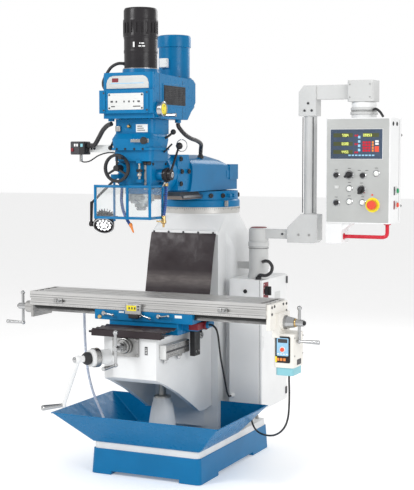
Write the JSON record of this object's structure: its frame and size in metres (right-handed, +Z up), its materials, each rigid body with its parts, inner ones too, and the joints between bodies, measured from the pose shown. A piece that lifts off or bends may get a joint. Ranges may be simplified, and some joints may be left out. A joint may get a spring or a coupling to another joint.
{
  "type": "knee-type turret milling machine",
  "caption": "Floor-standing vertical knee mill: turret ram and head with quill guard over a T-slot table, coolant tray, and a control box on a swing arm.",
  "frame": {"origin": "middle of the base's underside, on the floor", "axes": "+X along the table to the operator's right, +Y from the operator towards the column, +Z up"},
  "size_m": [2.09, 1.3111, 2.425],
  "materials": {
    "blue_paint": "gloss paint",
    "blue_sheet": "gloss paint",
    "grey_paint": "satin paint",
    "grey_sheet": "satin paint",
    "machined": "ground",
    "steel": "machined",
    "chrome": "polished",
    "black_paint": "gloss",
    "black_plastic": "matt",
    "rubber": "matt",
    "clear_pane": "clear",
    "cream_plastic": "satin",
    "cyan_plastic": "satin",
    "red_paint": "gloss",
    "red_plastic": "gloss",
    "green_plastic": "gloss",
    "blue_hose": "satin",
    "clear_hose": "translucent"
  },
  "bodies": {
    "base": {"base_casting": "blue_paint", "coolant_tray": "blue_sheet", "column": "grey_paint", "screw_pedestal": "grey_paint", "degree_ring": "machined", "column_way_cover": "rubber", "electrical_cabinet": "grey_sheet", "arm_post": "grey_sheet", "arm_conduit": "rubber"},
    "cabinet_door": {"cabinet_door": "grey_sheet"},
    "main_switch": {"main_switch": "black_plastic"},
    "turret": {"turret_plate": "blue_paint"},
    "ram": {"ram": "blue_paint"},
    "adapter": {"ram_adapter": "blue_paint"},
    "head": {"head_casting": "blue_paint", "belt_housing": "blue_sheet", "drawbar_unit": "black_paint", "drive_motor": "blue_sheet", "depth_stop_screw": "steel", "lamp_arm": "black_paint", "coolant_hose": "blue_hose", "switch_box": "black_plastic", "switch_conduit": "rubber", "drawbar_hose": "rubber", "head_conduit": "rubber"},
    "quill": {"quill": "steel"},
    "spindle": {"spindle": "steel"},
    "quill_lever": {"quill_feed_lever": "black_paint"},
    "fine_feed": {"fine_feed_handwheel": "black_plastic"},
    "speed_wheel": {"speed_handwheel": "chrome"},
    "range_lever": {"range_lever": "chrome"},
    "guard": {"guard_frame": "blue_sheet", "guard_pane_left": "clear_pane", "guard_pane_front": "clear_pane", "guard_pane_right": "clear_pane"},
    "lamp": {"lamp_head": "black_paint"},
    "knee": {"knee": "grey_paint", "elevating_screw": "steel", "cross_screw_bracket": "steel", "y_scale": "steel"},
    "knee_crank": {"knee_crank": "chrome"},
    "cross_crank": {"cross_crank": "chrome"},
    "saddle": {"saddle": "blue_paint", "front_way_cover": "rubber", "saddle_cable": "rubber"},
    "table": {"table": "machined", "left_end_bracket": "machined", "power_feed": "cream_plastic", "power_feed_cap": "cyan_plastic", "drain_hose": "clear_hose", "feed_cable": "rubber"},
    "leadscrew": {"leadscrew": "steel", "left_crank": "chrome", "right_crank": "chrome"},
    "arm": {"swing_arm": "grey_sheet"},
    "panel": {"control_box": "grey_sheet", "panel_handle": "red_paint"},
    "emergency_stop": {"emergency_stop": "red_plastic"},
    "start_button": {"start_button": "green_plastic"},
    "stop_button": {"stop_button": "red_plastic"}
  },
  "joints": [
    {"name": "turret_swivel", "type": "hinge", "parent": "base", "child": "turret", "pos_m": [0, 0.235, 1.4], "axis": [0, 0, 1], "range_deg": [-60, 20]},
    {"name": "ram_slide", "type": "slide", "parent": "turret", "child": "ram", "axis": [0, 1, 0], "range_m": [-0.2, 0.12]},
    {"name": "head_nod", "type": "hinge", "parent": "ram", "child": "adapter", "pos_m": [0, -0.35, 1.595], "axis": [1, 0, 0], "range_deg": [-20, 20], "deforming": ["head_conduit"]},
    {"name": "head_tilt", "type": "hinge", "parent": "adapter", "child": "head", "pos_m": [0, -0.3035, 1.595], "axis": [0, 1, 0], "range_deg": [-45, 30]},
    {"name": "quill_feed", "type": "slide", "parent": "head", "child": "quill", "axis": [0, 0, -1], "range_m": [0, 0.127]},
    {"name": "quill_lever_turn", "type": "hinge", "parent": "head", "child": "quill_lever", "pos_m": [0.15, -0.489, 1.586], "axis": [1, 0, 0], "range_deg": [0, 228]},
    {"name": "spindle_spin", "type": "hinge", "parent": "quill", "child": "spindle", "pos_m": [0, -0.485, 1.5], "axis": [0, 0, 1], "continuous": true},
    {"name": "fine_feed_turn", "type": "hinge", "parent": "head", "child": "fine_feed", "pos_m": [-0.062, -0.6, 1.62], "axis": [0, 1, 0], "continuous": true},
    {"name": "speed_wheel_turn", "type": "hinge", "parent": "head", "child": "speed_wheel", "pos_m": [0.17, -0.585, 1.913], "axis": [1, 0, 0], "continuous": true},
    {"name": "range_lever_turn", "type": "hinge", "parent": "head", "child": "range_lever", "pos_m": [0.1, -0.62, 1.757], "axis": [0, 1, 0], "range_deg": [0, 90]},
    {"name": "guard_swing", "type": "hinge", "parent": "head", "child": "guard", "pos_m": [-0.112, -0.566, 1.45], "axis": [0, 0, 1], "range_deg": [-80, 0]},
    {"name": "lamp_tilt", "type": "hinge", "parent": "head", "child": "lamp", "pos_m": [-0.25127, -0.4306, 1.32436], "axis": [1, 0, 0], "range_deg": [-40, 40]},
    {"name": "knee_lift", "type": "slide", "parent": "base", "child": "knee", "axis": [0, 0, 1], "range_m": [-0.12, 0.15], "deforming": ["column_way_cover", "saddle_cable"]},
    {"name": "knee_crank_turn", "type": "hinge", "parent": "knee", "child": "knee_crank", "pos_m": [-0.122, -0.615, 0.662], "axis": [-0.5, -0.866, 0], "continuous": true},
    {"name": "cross_crank_turn", "type": "hinge", "parent": "knee", "child": "cross_crank", "pos_m": [-0.007, -0.7, 0.727], "axis": [0, 1, 0], "continuous": true},
    {"name": "cross_slide", "type": "slide", "parent": "knee", "child": "saddle", "axis": [0, 1, 0], "range_m": [-0.12, 0.1], "deforming": ["front_way_cover"]},
    {"name": "table_slide", "type": "slide", "parent": "saddle", "child": "table", "axis": [1, 0, 0], "range_m": [-0.36, 0.36], "deforming": ["drain_hose", "feed_cable"]},
    {"name": "leadscrew_turn", "type": "hinge", "parent": "table", "child": "leadscrew", "pos_m": [0, -0.351, 0.854], "axis": [1, 0, 0], "continuous": true},
    {"name": "arm_swing", "type": "hinge", "parent": "base", "child": "arm", "pos_m": [0.393, 0.135, 1.25], "axis": [0, 0, 1], "range_deg": [-15, 80]},
    {"name": "panel_swivel", "type": "hinge", "parent": "arm", "child": "panel", "pos_m": [0.984, 0.135, 1.958], "axis": [0, 0, 1], "range_deg": [-90, 90]},
    {"name": "emergency_stop_push", "type": "slide", "parent": "panel", "child": "emergency_stop", "axis": [0, 1, 0], "range_m": [0, 0.008], "stiffness_N_per_m": 900},
    {"name": "start_button_push", "type": "slide", "parent": "panel", "child": "start_button", "axis": [-1, 0, 0], "range_m": [0, 0.005], "stiffness_N_per_m": 900},
    {"name": "stop_button_push", "type": "slide", "parent": "panel", "child": "stop_button", "axis": [-1, 0, 0], "range_m": [0, 0.005], "stiffness_N_per_m": 900},
    {"name": "cabinet_door_hinge", "type": "hinge", "parent": "base", "child": "cabinet_door", "pos_m": [0.442, 0.447, 0.65], "axis": [0, 0, 1], "range_deg": [0, 100]},
    {"name": "main_switch_turn", "type": "hinge", "parent": "cabinet_door", "child": "main_switch", "pos_m": [0.45, 0.12, 0.95], "axis": [1, 0, 0], "range_deg": [0, 90]}
  ],
  "couplings": [
    {"joint": "quill_lever_turn", "follows": "quill_feed", "rad_per_m": 31.25}
  ]
}
